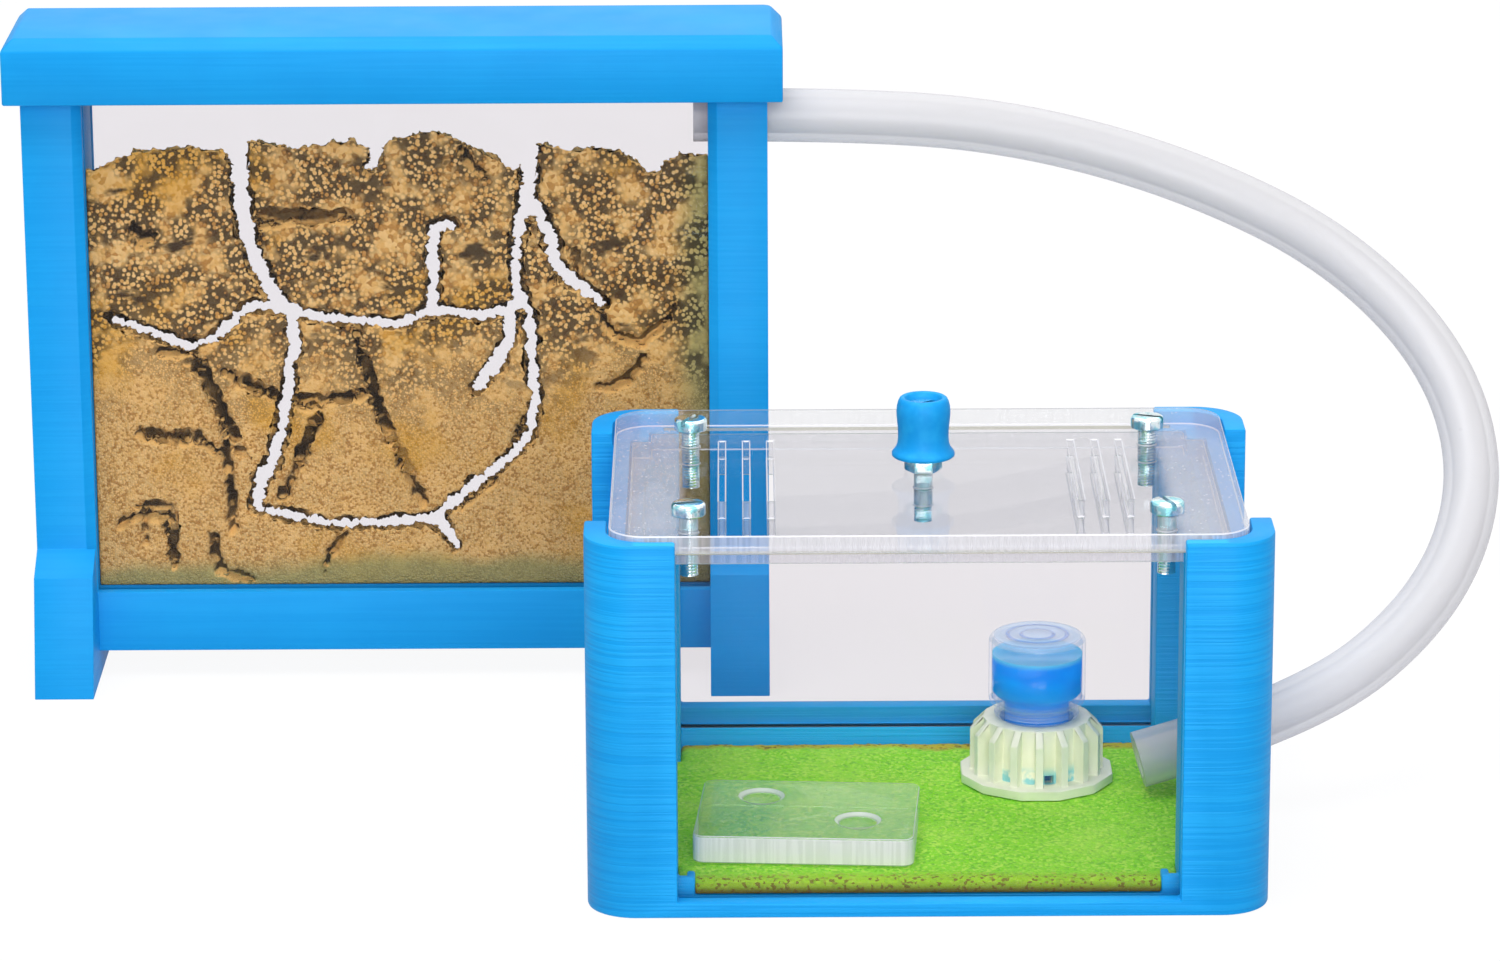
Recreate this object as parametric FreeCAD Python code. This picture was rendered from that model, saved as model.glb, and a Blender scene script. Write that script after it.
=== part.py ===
import FreeCAD, Part
import math
import os

from FreeCAD import Vector

# Sizes in millimetres. Z is up, the ground is z = 0, and the origin is the middle of the footprint.

# How the two tanks stand to each other
nest_offset = 90.4          # from the arena's middle to the nest's middle, along X
nest_setback = 124.2        # from the arena's front face to the nest frame's front face

# Printed body of the foraging arena
arena_width = 110.0
arena_depth = 80.0
arena_height = 62.5
arena_corner_r = 8.0
post_width = 14.6           # along X
post_depth = 14.6           # along Y
side_wall_inset = 4.0       # how far the side walls stand behind the posts' outer faces
side_wall_thick = 5.0
arena_floor = 2.0
front_rail_height = 2.5
rear_wall_height = 10.0
hook_reach = 2.8            # small hooks that keep the front pane upright
hook_thick = 1.3
hook_depth = 3.4
hook_height = 5.0

# Clear panes of the arena, which slide down in grooves
arena_pane_thick = 2.0
arena_pane_setback = 3.2
arena_groove_reach = 2.6    # how far a groove cuts into a post
front_groove_floor = 1.0
rear_groove_floor = 7.0
pane_clear = 0.15

# Sand, dish and feeder in the arena
arena_sand_top = 4.4
dish_length = 36.0
dish_width = 28.0
dish_thick = 4.8
dish_corner_r = 2.0
dish_edge_r = 0.5
dish_at = (-19.2, 26.5)     # from the arena's front middle
dish_turn = -4.0            # degrees
dimple_width = 8.0
dimple_depth = 1.6
dimples = [(-8.0, 6.5), (8.5, -4.5)]

feeder_at = (19.8, 56.0)    # from the arena's front middle
feeder_foot_width = 25.4    # across the flats of its foot
feeder_foot_sides = 12
feeder_foot_thick = 1.6
feeder_body_r = 9.0
feeder_height = 10.9        # foot and body together
fin_count = 16
fin_thick = 1.3
fin_r = 11.2
fin_chamfer = 2.2
well_floor = 1.2
drink_slot_width = 1.5
drink_slot_height = 1.4

bottle_r = 8.15
bottle_wall = 0.9
bottle_length = 10.2        # the wide part, above the shoulder
bottle_edge_r = 1.2
neck_r = 6.0
neck_length = 5.8           # below the neck's ring
neck_clear = 0.2
neck_ring_r = 7.0
neck_ring_thick = 2.4
shoulder_height = 1.8
water_depth = 7.0           # above the shoulder

# Lid of the arena: two clear plates joined by screws
lid_margin_x = 4.0          # from the arena's outer face in to the lid's edge
lid_margin_y = 3.1
lid_corner_r = 6.0
lid_thick = 3.0
lid_lip = 2.3               # how far the post tops stand above the lid's seat
lid_clear = 0.4
lower_plate_thick = 3.0
lower_plate_margin_x = 6.0  # from the top plate's edge in to the lower plate's
lower_plate_margin_y = 4.1
lower_ear_reach = 3.1       # how far an ear reaches past the plate's end
lower_notch = 5.0
lower_plate_lift = 0.2      # air under the lower plate, as the top plate carries the lid
slit_width = 1.0
slit_length = 35.0
slit_places = [25.0, 29.0, 33.0]

screw_inset_x = 12.7        # from the top plate's edge in to the screw's middle
screw_inset_y = 12.1
screw_r = 1.5
screw_hole_r = 1.55
screw_length = 10.0
screw_head_r = 2.75
screw_head_height = 2.0
screw_slot_width = 0.8
screw_slot_depth = 1.0
screw_first_turn = 15.0     # where each slot happens to point, in degrees
screw_turn_step = 48.0

nut_across_flats = 5.5
nut_thick = 2.4
knob_profile = [            # (radius, height above the nut), from the flange up to the rim
    (5.15, 0.0), (5.15, 0.7), (4.25, 1.8), (3.9, 3.2), (4.05, 4.5), (4.4, 6.8), (4.35, 8.2), (4.05, 9.5),
    (3.8, 10.0),
]
knob_recess_r = 2.95
knob_recess_depth = 3.0
knob_screw_length = 18.0
knob_screw_turn = 35.0      # degrees

# Printed frame of the nest
nest_width = 131.0
nest_height = 111.5
nest_post_width = 10.5
nest_lip = 3.0
nest_pane_thick = 2.0
chamber_depth = 11.4        # between the two grooves
nest_rail_bottom = 5.0
nest_rail_top = 16.0
nest_rail_setback = 1.0
nest_groove_reach = 2.5
nest_groove_sink = 2.5      # how far a pane stands in the rail
nest_bevel = 1.6
nest_pane_gap = 0.2         # air above a pane
nest_port_drop = 10.5       # from the frame's top down to the middle of the hose's port
hose_stub = 2.6             # how far the hose stands inside the nest
foot_reach = 11.8           # how far a foot reaches in front of and behind the frame
foot_shoulder_reach = 6.5
foot_shoulder_height = 21.0
foot_top = 24.5

# Printed roof of the nest
roof_overhang_x = 2.7
roof_overhang_y = 3.8
roof_height = 11.7
roof_seat_depth = 5.0       # how far it comes down over the frame
roof_clear = 0.3
roof_chamfer = 2.0
roof_rear_corner_r = 3.5

# Connecting hose
hose_diameter = 9.5
hose_bore = 6.4
port_clear = 0.15
arena_port_inset = 18.5     # the hose's open end in the arena: in from its right face,
arena_port_back = 48.0      # back from its front face,
arena_port_height = 10.0    # and up from the ground
bend_share = 0.45           # of the shorter run, which a bend takes up
hose_route = [              # chosen by hand, from the nest's port round to the arena's port
    (13.8, 56.2, 101.0),
    (44.8, 56.2, 101.0),
    (73.8, 58.0, 97.5),
    (103.3, 56.5, 89.0),
    (128.8, 48.0, 77.5),
    (145.8, 30.5, 62.0),
    (149.3, 8.0, 46.0),
    (139.3, -13.0, 30.5),
    (116.3, -28.0, 17.0),
    (88.3, -31.0, 10.0),
]

# The sand of the nest: its top edge and the galleries dug through it, as (x, z) from the nest's middle
sand_skyline = [
    (-55.0, 93.0), (-46.5, 96.5), (-36.0, 97.5), (-30.0, 96.5), (-25.0, 98.5), (-17.0, 97.0),
    (-9.0, 98.5), (-5.5, 97.0), (4.5, 100.0), (8.0, 100.0), (12.5, 97.5), (16.5, 96.0), (21.0, 92.5),
    (25.5, 98.0), (29.0, 96.5), (36.0, 97.0), (40.5, 96.0), (45.0, 91.5), (49.5, 96.0), (55.0, 95.5),
]
# Each gallery is (x, z, width) at its turning points
through_galleries = [
    [(-28, 102, 4.5), (-28, 98, 3.2), (-27.5, 84.5, 3), (-26, 78, 2.8), (-23.5, 72, 3), (-20.5, 67, 2.6)],
    [(-20.5, 67.8, 2.2), (-26.5, 68, 1.8), (-33, 62.5, 1.8), (-37.5, 60.5, 1.8), (-46.5, 64, 1.8), (-53, 66.5, 1.2)],
    [(-33, 63, 1.6), (-33, 57.5, 0.8)],
    [(-21.5, 68, 2.2), (-15, 66, 1.8), (0, 64.5, 1.7), (6, 67.3, 2), (15, 66, 1.8), (21.5, 68, 2)],
    [(6, 66.8, 2.2), (6, 77.5, 2.4), (6.5, 82.3, 2.6), (10.5, 83, 2)],
    [(-19.5, 67.5, 2.6), (-19, 61, 2.2), (-21, 48.5, 2), (-23, 40, 2.2), (-26, 35, 3), (-26.5, 29.5, 1.6)],
    [(23.3, 102, 5), (23.5, 97, 3.2), (23.5, 90, 3), (20.7, 78, 2), (21, 71, 1.8), (23, 66.5, 2),
     (24, 51.5, 2), (23, 44.5, 2), (19.5, 40, 2), (8, 30.5, 2.2), (5, 27.8, 1.4)],
    [(23, 89, 2.2), (26.5, 82, 2.6), (28, 75.5, 2.6), (31.5, 72, 2.6), (37, 67.7, 2)],
    [(20, 67.5, 2.2), (19, 60.5, 2.4), (17, 57, 2.8), (13, 52, 2)],
    [(6.5, 28.3, 2.4), (-3, 27.6, 1.8), (-13, 27.5, 1.8), (-21, 29, 1.8), (-27, 30.6, 1)],
    [(6, 28.5, 2.2), (9, 24, 1.5), (10.5, 18.5, 0.6)],
    [(-3, 100, 4), (-3.2, 97, 2.8), (-4.5, 93.5, 1.5), (-6, 90, 0.5)],
]
blind_galleries = [
    [(-25, 85, 1.6), (-17, 84, 2.4), (-8.5, 84.8, 1)],
    [(-40.5, 60, 1.2), (-35, 55.5, 1.6), (-31.5, 47, 1.4), (-27.5, 37, 1)],
    [(-46, 45, 1.4), (-41.5, 43.5, 1.6), (-37, 44.5, 1.4), (-31, 37.5, 0.8)],
    [(-30.5, 56, 1), (-26, 53, 1.6), (-20.5, 50.8, 1.4), (-13, 50.5, 1.4), (-4.5, 52.5, 1)],
    [(-7.5, 64, 1), (-5, 53.5, 1.4), (-3.5, 47, 1.4), (4, 32, 1)],
    [(-15, 49.5, 0.8), (-17, 43, 1.4), (-22.5, 31.5, 1)],
    [(-49.5, 31, 1), (-41.5, 30.8, 1.4)],
    [(-41.5, 30.8, 1), (-41.5, 20.5, 1.4)],
    [(42, 63.5, 1.2), (47, 63.5, 1)],
    [(13, 97, 1), (13.5, 90.5, 0.6)],
]
blind_depth = 3.5
gallery_fall = 0.27         # the galleries run down towards the back, by this share of their depth,
gallery_drift = 0.055       # and a little to the left

# What follows from them
nest_depth = 2 * (nest_lip + nest_pane_thick + 2 * pane_clear) + chamber_depth
roof_length = nest_width + 2 * roof_overhang_x
total_width = nest_offset + (roof_length + arena_width) / 2
total_depth = nest_setback + nest_depth + foot_reach
arena_place = Vector((total_width - arena_width) / 2, -total_depth / 2, 0)
nest_place = arena_place + Vector(-nest_offset, nest_setback, 0)
lid_seat = arena_height - lid_lip
lid_middle = arena_depth / 2
lid_length = arena_width - 2 * lid_margin_x
lid_width = arena_depth - 2 * lid_margin_y
lower_plate_length = lid_length - 2 * lower_plate_margin_x
lower_plate_width = lid_width - 2 * lower_plate_margin_y
knob_height = knob_profile[-1][1]
overrun = 1.0               # how far a cut runs past the face that it opens
tolerance = 0.01            # for finding an edge by its height or direction


def box(x0, x1, y0, y1, z0, z1):
    return Part.makeBox(x1 - x0, y1 - y0, z1 - z0, Vector(x0, y0, z0))


def cylinder(x, y, z0, z1, radius):
    return Part.makeCylinder(radius, z1 - z0, Vector(x, y, z0))


def upright_edges(shape):
    return [edge for edge in shape.Edges if abs(edge.tangentAt(edge.FirstParameter).z) > 1 - tolerance]


def rounded_box(x0, x1, y0, y1, z0, z1, radius):
    block = box(x0, x1, y0, y1, z0, z1)
    return block.makeFillet(radius, upright_edges(block))


def flat_prism(corners, z0, z1):
    outline = Part.makePolygon([Vector(x, y, z0) for x, y in corners + corners[:1]])
    return Part.Face(outline).extrude(Vector(0, 0, z1 - z0))


def turned(profile, x, y):
    """Solid of revolution about the upright line at (x, y), from (radius, z) corners."""
    outline = Part.makePolygon([Vector(x + r, y, z) for r, z in profile + profile[:1]])
    return Part.Face(outline).revolve(Vector(x, y, 0), Vector(0, 0, 1), 360)


def save(name, shape, place):
    moved = shape.copy()
    moved.translate(place)
    print("%-20s solids %d volume %9.1f valid %s" % (name, len(moved.Solids), moved.Volume, moved.isValid()))
    moved.exportStep("parts/%s.step" % name)


# Foraging arena: body, panes and sand

groove_width = arena_pane_thick + 2 * pane_clear
cavity_front = arena_pane_setback + groove_width
opening_x = arena_width / 2 - post_width
chamber_x = arena_width / 2 - side_wall_inset - side_wall_thick


def lower_plate_outline(grow):
    """Plan of the lid's lower plate, whose four corners are notched, let out by grow."""
    main_x = lower_plate_length / 2 + grow
    ear_x = lower_plate_length / 2 + lower_ear_reach + grow
    main_y = lower_plate_width / 2 + grow
    ear_y = lower_plate_width / 2 - lower_notch + grow
    quarter = [(main_x, main_y), (main_x, ear_y), (ear_x, ear_y)]
    half = quarter + [(x, -y) for x, y in reversed(quarter)]
    return [(x, y + lid_middle) for x, y in half + [(-x, -y) for x, y in half]]


def lid_plan(grow, z0, z1):
    return rounded_box(-lid_length / 2 - grow, lid_length / 2 + grow,
                       lid_middle - lid_width / 2 - grow, lid_middle + lid_width / 2 + grow,
                       z0, z1, lid_corner_r + grow)


def hose_port(end, first, second, length):
    """Hole for one end of the hose, from its open end outwards, along the run from first to second."""
    return Part.makeCylinder(hose_diameter / 2 + port_clear, length, end, Vector(*second) - Vector(*first))


def arena_body():
    top = arena_height + overrun
    body = rounded_box(-arena_width / 2, arena_width / 2, 0, arena_depth, 0, arena_height, arena_corner_r)
    rear_opening = arena_depth - cavity_front
    cuts = [
        box(-chamber_x, chamber_x, post_depth, arena_depth - post_depth, arena_floor, top),
        box(-opening_x, opening_x, cavity_front, rear_opening, arena_floor, top),
        box(-opening_x, opening_x, -overrun, cavity_front, front_rail_height, top),
        box(-opening_x, opening_x, rear_opening, arena_depth + overrun, rear_wall_height, top),
        lid_plan(lid_clear, lid_seat, top),
        flat_prism(lower_plate_outline(lid_clear), lid_seat - lower_plate_thick - lower_plate_lift, top),
    ]
    groove_x = opening_x + arena_groove_reach
    rear_groove = arena_depth - arena_pane_setback - groove_width
    cuts.append(box(-groove_x, groove_x, arena_pane_setback, cavity_front, front_groove_floor, top))
    cuts.append(box(-groove_x, groove_x, rear_groove, rear_groove + groove_width, rear_groove_floor, top))
    for side in (-1, 1):
        wall_x, outside_x = sorted([side * (arena_width / 2 - side_wall_inset), side * (arena_width / 2 + overrun)])
        cuts.append(box(wall_x, outside_x, post_depth, arena_depth - post_depth, -overrun, top))
    end = Vector(arena_width / 2 - arena_port_inset, arena_port_back, arena_port_height)
    cuts.append(hose_port(end, hose_route[-1], hose_route[-2], arena_port_inset + hose_diameter))
    body = body.cut(cuts)
    for side in (-1, 1):
        root_x, tip_x = side * opening_x, side * (opening_x - hook_reach)
        bend_x = side * (opening_x - hook_reach + hook_thick)
        arm_back = cavity_front + hook_thick
        arm = box(min(root_x, tip_x), max(root_x, tip_x), cavity_front, arm_back, arena_floor, hook_height)
        hook = box(min(tip_x, bend_x), max(tip_x, bend_x), cavity_front, cavity_front + hook_depth,
                   arena_floor, hook_height)
        body = body.fuse([arm, hook])
    return body.removeSplitter()


def arena_pane(front_face, groove_floor):
    reach = opening_x + arena_groove_reach - pane_clear
    return box(-reach, reach, front_face, front_face + arena_pane_thick, groove_floor, lid_seat - pane_clear)


def arena_sand(body):
    bed = box(-chamber_x, chamber_x, cavity_front, arena_depth - cavity_front, arena_floor, arena_sand_top)
    return bed.cut(body)


# Lid of the arena

def vent_slits(z0, z1):
    slits = []
    for place in slit_places:
        for side in (-1, 1):
            middle = side * place
            slits.append(box(middle - slit_width / 2, middle + slit_width / 2,
                             lid_middle - slit_length / 2, lid_middle + slit_length / 2, z0, z1))
    return slits


def screw_places():
    screw_x, screw_y = lid_length / 2 - screw_inset_x, lid_width / 2 - screw_inset_y
    return [(sx * screw_x, lid_middle + sy * screw_y) for sy in (-1, 1) for sx in (-1, 1)]


def drilled(plate, z0, z1):
    holes = [cylinder(x, y, z0, z1, screw_hole_r) for x, y in screw_places() + [(0, lid_middle)]]
    return plate.cut(holes + vent_slits(z0, z1))


def lid_top_plate():
    top = lid_seat + lid_thick
    return drilled(lid_plan(0, lid_seat, top), lid_seat - overrun, top + overrun)


def lid_lower_plate():
    bottom = lid_seat - lower_plate_thick
    return drilled(flat_prism(lower_plate_outline(0), bottom, lid_seat), bottom - overrun, lid_seat + overrun)


def slotted_screw(x, y, seat, length, turn):
    top = seat + screw_head_height
    screw = cylinder(x, y, seat - length, seat, screw_r).fuse(cylinder(x, y, seat, top, screw_head_r))
    slot = box(x - screw_head_r, x + screw_head_r, y - screw_slot_width / 2, y + screw_slot_width / 2,
               top - screw_slot_depth, top + overrun)
    slot.rotate(Vector(x, y, 0), Vector(0, 0, 1), turn)
    return screw.cut(slot)


def lid_screws():
    seat = lid_seat + lid_thick
    return Part.makeCompound([slotted_screw(x, y, seat, screw_length, screw_first_turn + i * screw_turn_step)
                              for i, (x, y) in enumerate(screw_places())])


def knob_nut():
    seat = lid_seat + lid_thick
    corner_r = nut_across_flats / 2 / math.cos(math.pi / 6)
    turns = [math.radians(60 * i) for i in range(6)]
    corners = [(corner_r * math.cos(turn), lid_middle + corner_r * math.sin(turn)) for turn in turns]
    return flat_prism(corners, seat, seat + nut_thick).cut(
        cylinder(0, lid_middle, seat - overrun, seat + nut_thick + overrun, screw_hole_r))


def lid_knob():
    foot = lid_seat + lid_thick + nut_thick
    top = foot + knob_height
    knob = turned([(0, foot)] + [(r, foot + z) for r, z in knob_profile] + [(0, top)], 0, lid_middle)
    recess = cylinder(0, lid_middle, top - knob_recess_depth, top + overrun, knob_recess_r)
    return knob.cut([recess, cylinder(0, lid_middle, foot - overrun, top + overrun, screw_hole_r)])


def knob_screw():
    seat = lid_seat + lid_thick + nut_thick + knob_height - knob_recess_depth
    return slotted_screw(0, lid_middle, seat, knob_screw_length, knob_screw_turn)


# Dish and feeder

def feeding_dish():
    x, y = dish_at
    base, top = arena_sand_top, arena_sand_top + dish_thick
    dish = rounded_box(x - dish_length / 2, x + dish_length / 2, y - dish_width / 2, y + dish_width / 2,
                       base, top, dish_corner_r)
    rim = [edge for edge in dish.Edges if edge.BoundBox.ZMin > top - tolerance]
    dish = dish.makeFillet(dish_edge_r, rim)
    ball_r = (dimple_width ** 2 / 4 + dimple_depth ** 2) / (2 * dimple_depth)
    balls = [Part.makeSphere(ball_r, Vector(x + dx, y + dy, top + ball_r - dimple_depth)) for dx, dy in dimples]
    dish = dish.cut(balls)
    dish.rotate(Vector(x, y, 0), Vector(0, 0, 1), dish_turn)
    return dish


feeder_top = arena_sand_top + feeder_height
shoulder_base = feeder_top + neck_ring_thick
shoulder_top = shoulder_base + shoulder_height
bottle_top = shoulder_top + bottle_length
bottle_mouth = feeder_top - neck_length


def feeder_fin(angle):
    x, y = feeder_at
    foot_top_z = arena_sand_top + feeder_foot_thick
    side = [Vector(x, y - fin_thick / 2, foot_top_z), Vector(x + fin_r, y - fin_thick / 2, foot_top_z),
            Vector(x + fin_r, y - fin_thick / 2, feeder_top - fin_chamfer),
            Vector(x + fin_r - fin_chamfer, y - fin_thick / 2, feeder_top), Vector(x, y - fin_thick / 2, feeder_top)]
    fin = Part.Face(Part.makePolygon(side + side[:1])).extrude(Vector(0, fin_thick, 0))
    fin.rotate(Vector(x, y, 0), Vector(0, 0, 1), angle)
    return fin


def feeder_base():
    x, y = feeder_at
    base = arena_sand_top
    corner_r = feeder_foot_width / 2 / math.cos(math.pi / feeder_foot_sides)
    angles = [2 * math.pi * (i + 0.5) / feeder_foot_sides for i in range(feeder_foot_sides)]
    foot = flat_prism([(x + corner_r * math.cos(a), y + corner_r * math.sin(a)) for a in angles],
                      base, base + feeder_foot_thick)
    parts = [cylinder(x, y, base, feeder_top, feeder_body_r)]
    parts += [feeder_fin(360.0 * i / fin_count) for i in range(fin_count)]
    body = foot.fuse(parts)
    cuts = [cylinder(x, y, base + well_floor, feeder_top + overrun, neck_r + neck_clear)]
    slot_z = base + feeder_foot_thick
    for i in range(0, fin_count, 4):
        slot = box(x, x + feeder_body_r + overrun, y - drink_slot_width / 2, y + drink_slot_width / 2,
                   slot_z, slot_z + drink_slot_height)
        slot.rotate(Vector(x, y, 0), Vector(0, 0, 1), 360.0 * (i + 0.5) / fin_count)
        cuts.append(slot)
    return body.cut(cuts).removeSplitter()


def feeder_bottle():
    x, y = feeder_at
    outer = [(0, bottle_mouth), (neck_r, bottle_mouth), (neck_r, feeder_top), (neck_ring_r, feeder_top),
             (neck_ring_r, shoulder_base), (neck_r, shoulder_base), (bottle_r, shoulder_top),
             (bottle_r, bottle_top), (0, bottle_top)]
    bottle = turned(outer, x, y)
    rim = [edge for edge in bottle.Edges if edge.BoundBox.ZMin > bottle_top - tolerance]
    bottle = bottle.makeFillet(bottle_edge_r, rim)
    return bottle.cut(bottle_bore(bottle_top - bottle_wall, bottle_mouth - overrun))


def bottle_bore(top, bottom):
    x, y = feeder_at
    return turned([(0, bottom), (neck_r - bottle_wall, bottom), (neck_r - bottle_wall, shoulder_base),
                   (bottle_r - bottle_wall, shoulder_top), (bottle_r - bottle_wall, top), (0, top)], x, y)


def feeder_water():
    return bottle_bore(shoulder_top + water_depth, bottle_mouth)


# Nest: frame, roof, panes and sand

nest_groove = nest_pane_thick + 2 * pane_clear
nest_opening = nest_width / 2 - nest_post_width
rear_pane_front = nest_depth - nest_lip - pane_clear - nest_pane_thick
front_pane_back = nest_lip + pane_clear + nest_pane_thick


def foot_side():
    """Side view of one foot and the foot of its post, as (y, z) corners."""
    front = [(0, foot_top), (-foot_shoulder_reach, foot_shoulder_height), (-foot_reach, 0)]
    return front + [(nest_depth - y, z) for y, z in reversed(front)]


def nest_post(side):
    inner, outer = sorted([side * nest_opening, side * nest_width / 2])
    post = box(inner, outer, 0, nest_depth, 0, nest_height)
    corners = [Vector(inner, y, z) for y, z in foot_side()]
    foot = Part.Face(Part.makePolygon(corners + corners[:1])).extrude(Vector(outer - inner, 0, 0))
    post = post.fuse(foot)
    bevels = []
    for face, into in ((0, 1), (nest_depth, -1)):
        edge = [Vector(side * nest_opening, face, nest_rail_top),
                Vector(side * (nest_opening + nest_bevel), face, nest_rail_top),
                Vector(side * nest_opening, face + into * nest_bevel, nest_rail_top)]
        bevels.append(Part.Face(Part.makePolygon(edge + edge[:1])).extrude(Vector(0, 0, nest_height)))
    return post.cut(bevels)


def nest_port():
    start = Vector(nest_opening - hose_stub, nest_depth / 2, nest_height - nest_port_drop)
    return hose_port(start, hose_route[0], hose_route[1], hose_stub + nest_post_width + overrun)


def nest_frame():
    rail = box(-nest_opening, nest_opening, nest_rail_setback, nest_depth - nest_rail_setback,
               nest_rail_bottom, nest_rail_top)
    frame = rail.fuse([nest_post(-1), nest_post(1)])
    reach = nest_opening + nest_groove_reach
    top = nest_height + overrun
    low = nest_rail_top - nest_groove_sink
    rear = nest_depth - nest_lip - nest_groove
    cuts = [box(-reach, reach, nest_lip, nest_lip + nest_groove, low, top),
            box(-reach, reach, rear, rear + nest_groove, low, top)]
    cuts.append(nest_port())
    return frame.cut(cuts).removeSplitter()


def nest_pane(front_face):
    reach = nest_opening + nest_groove_reach - pane_clear
    return box(-reach, reach, front_face, front_face + nest_pane_thick,
               nest_rail_top - nest_groove_sink, nest_height - nest_pane_gap)


def nest_roof():
    base = nest_height - roof_seat_depth
    roof = box(-roof_length / 2, roof_length / 2, -roof_overhang_y, nest_depth + roof_overhang_y,
               base, base + roof_height)
    rear_right = [edge for edge in upright_edges(roof)
                  if edge.BoundBox.XMin > 0 and edge.BoundBox.YMin > nest_depth / 2]
    roof = roof.makeFillet(roof_rear_corner_r, rear_right)
    rim = [edge for edge in roof.Edges if edge.BoundBox.ZMin > base + roof_height - tolerance]
    roof = roof.makeChamfer(roof_chamfer, rim)
    return roof.cut(box(-nest_width / 2 - roof_clear, nest_width / 2 + roof_clear,
                        -roof_clear, nest_depth + roof_clear, base - overrun, nest_height))


def gallery(route, depth):
    """A channel along route, whose width changes from point to point, cut this deep from the front."""
    into = Vector(-gallery_drift, 1, -gallery_fall)
    start = Vector(0, front_pane_back, 0) - into * overrun
    left, right = [], []
    for i, (x, z, width) in enumerate(route):
        before, after = route[max(i - 1, 0)], route[min(i + 1, len(route) - 1)]
        along = math.atan2(after[1] - before[1], after[0] - before[0])
        dx, dz = -math.sin(along) * width / 2, math.cos(along) * width / 2
        left.append(start + Vector(x + dx, 0, z + dz))
        right.append(start + Vector(x - dx, 0, z - dz))
    outline = left + right[::-1]
    return Part.Face(Part.makePolygon(outline + outline[:1])).extrude(into * (depth + overrun))


def nest_sand():
    skyline = [(-nest_opening, sand_skyline[0][1])] + sand_skyline[1:-1] + [(nest_opening, sand_skyline[-1][1])]
    corners = [Vector(x, front_pane_back, z) for x, z in skyline]
    corners += [Vector(nest_opening, front_pane_back, nest_rail_top),
                Vector(-nest_opening, front_pane_back, nest_rail_top)]
    slab = Part.Face(Part.makePolygon(corners + corners[:1])).extrude(
        Vector(0, rear_pane_front - front_pane_back, 0))
    cuts = [gallery(route, chamber_depth + 2 * overrun) for route in through_galleries]
    cuts += [gallery(route, blind_depth) for route in blind_galleries]
    cuts.append(nest_port().translated(Vector(-hose_diameter, 0, 0)))
    return slab.cut(cuts)


# Connecting hose: straight runs joined by the largest arcs that the runs allow

def hose_path():
    points = [Vector(*p) for p in hose_route]
    edges, start = [], points[0]
    for before, corner, after in zip(points, points[1:], points[2:]):
        run_in, run_out = corner - before, after - corner
        half_turn = run_in.getAngle(run_out) / 2
        cut = bend_share * min(run_in.Length, run_out.Length)
        radius = cut / math.tan(half_turn)
        print("hose bend radius %.1f" % radius)
        toward, away = Vector(run_in).normalize(), Vector(run_out).normalize()
        first, last = corner - toward * cut, corner + away * cut
        centre = corner + (away - toward).normalize() * (radius / math.cos(half_turn))
        middle = centre + (corner - centre).normalize() * radius
        edges += [Part.LineSegment(start, first).toShape(), Part.Arc(first, middle, last).toShape()]
        start = last
    edges.append(Part.LineSegment(start, points[-1]).toShape())
    return Part.Wire(edges)


def hose_solid(path, diameter):
    start = Vector(*hose_route[0])
    along = (Vector(*hose_route[1]) - start).normalize()
    circle = Part.Wire([Part.makeCircle(diameter / 2, start, along)])
    return path.makePipeShell([circle], True, True)


def connecting_hose():
    path = hose_path()
    hose = hose_solid(path, hose_diameter).cut(hose_solid(path, hose_bore))
    expected = math.pi / 4 * (hose_diameter ** 2 - hose_bore ** 2) * path.Length
    print("hose length %.1f volume %.1f section times length %.1f" % (path.Length, hose.Volume, expected))
    return hose


os.makedirs("parts", exist_ok=True)
body = arena_body()
save("arena_body", body, arena_place)
save("arena_front_pane", arena_pane(arena_pane_setback + pane_clear, front_groove_floor), arena_place)
save("arena_rear_pane",
     arena_pane(arena_depth - arena_pane_setback - pane_clear - arena_pane_thick, rear_groove_floor), arena_place)
save("arena_sand", arena_sand(body), arena_place)
save("lid_top_plate", lid_top_plate(), arena_place)
save("lid_lower_plate", lid_lower_plate(), arena_place)
save("lid_screws", lid_screws(), arena_place)
save("lid_knob", lid_knob(), arena_place)
save("knob_nut", knob_nut(), arena_place)
save("knob_screw", knob_screw(), arena_place)
save("feeding_dish", feeding_dish(), arena_place)
save("feeder_base", feeder_base(), arena_place)
save("feeder_bottle", feeder_bottle(), arena_place)
save("feeder_water", feeder_water(), arena_place)
save("nest_frame", nest_frame(), nest_place)
save("nest_roof", nest_roof(), nest_place)
save("nest_front_glass", nest_pane(nest_lip + pane_clear), nest_place)
save("nest_rear_glass", nest_pane(rear_pane_front), nest_place)
save("nest_sand", nest_sand(), nest_place)
save("connecting_hose", connecting_hose(), Vector(0, 0, 0))
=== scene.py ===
import math

import bmesh
import bpy
import numpy as np
from mathutils import Matrix, Vector, noise


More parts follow.
